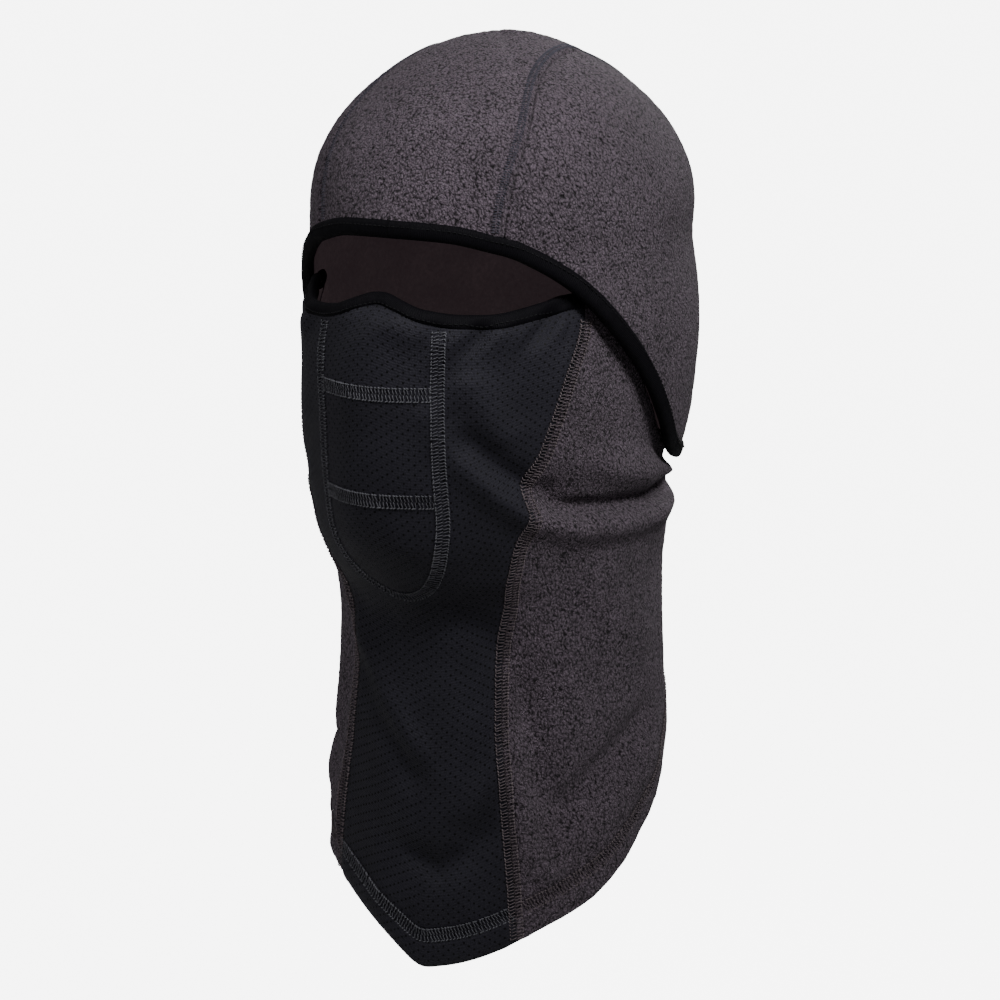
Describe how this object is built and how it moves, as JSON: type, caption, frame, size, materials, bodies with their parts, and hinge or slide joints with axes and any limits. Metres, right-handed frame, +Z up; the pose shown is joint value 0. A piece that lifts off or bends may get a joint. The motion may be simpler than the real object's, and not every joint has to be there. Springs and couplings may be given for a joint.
{
  "type": "hinged balaclava",
  "caption": "Fleece ski balaclava: a three-panel cap with a bound edge, and a wind-stopping face mask and neck gaiter that swings down from the eyes about the nape seam.",
  "frame": {"origin": "mount wearer_head: the middle of the wearer's head at its widest girth, level with the cap's brow", "axes": "+Z up, -Y the way the wearer looks, +X the wearer's left"},
  "size_m": [0.1768, 0.2204, 0.4079],
  "materials": {
    "grey_fleece": "napped pebbled fleece",
    "black_mask_cloth": "matte perforated knit",
    "black_tape": "smooth stretch tape",
    "grey_thread": "satin thread",
    "black_thread": "matte thread",
    "white_label": "woven satin, blank"
  },
  "bodies": {
    "cap": {"crown_panel": "grey_fleece", "cap_side_panel_left": "grey_fleece", "cap_side_panel_right": "grey_fleece", "cap_binding": "black_tape", "cap_binding_stitch": "black_thread", "nape_join_stitch": "black_thread", "care_label": "white_label", "crown_seam_stitch_left": "grey_thread", "crown_seam_stitch_right": "grey_thread"},
    "gaiter": {"face_panel": "black_mask_cloth", "nose_panel": "black_mask_cloth", "mouth_panel": "black_mask_cloth", "chin_panel": "black_mask_cloth", "mask_binding": "black_tape", "mask_binding_stitch": "black_thread", "patch_outline_stitch": "grey_thread", "upper_cross_stitch": "grey_thread", "lower_cross_stitch": "grey_thread", "gaiter_side_panel_left": "grey_fleece", "gaiter_side_panel_right": "grey_fleece", "side_seam_stitch_left": "grey_thread", "side_seam_stitch_right": "grey_thread", "back_seam_stitch": "grey_thread", "hem_stitch_front": "grey_thread", "hem_stitch_left": "grey_thread", "hem_stitch_right": "grey_thread"}
  },
  "joints": [
    {"name": "nape_hinge", "type": "hinge", "parent": "cap", "child": "gaiter", "pos_m": [0, 0.088, -0.114], "axis": [1, 0, 0], "range_deg": [0, 36]}
  ]
}
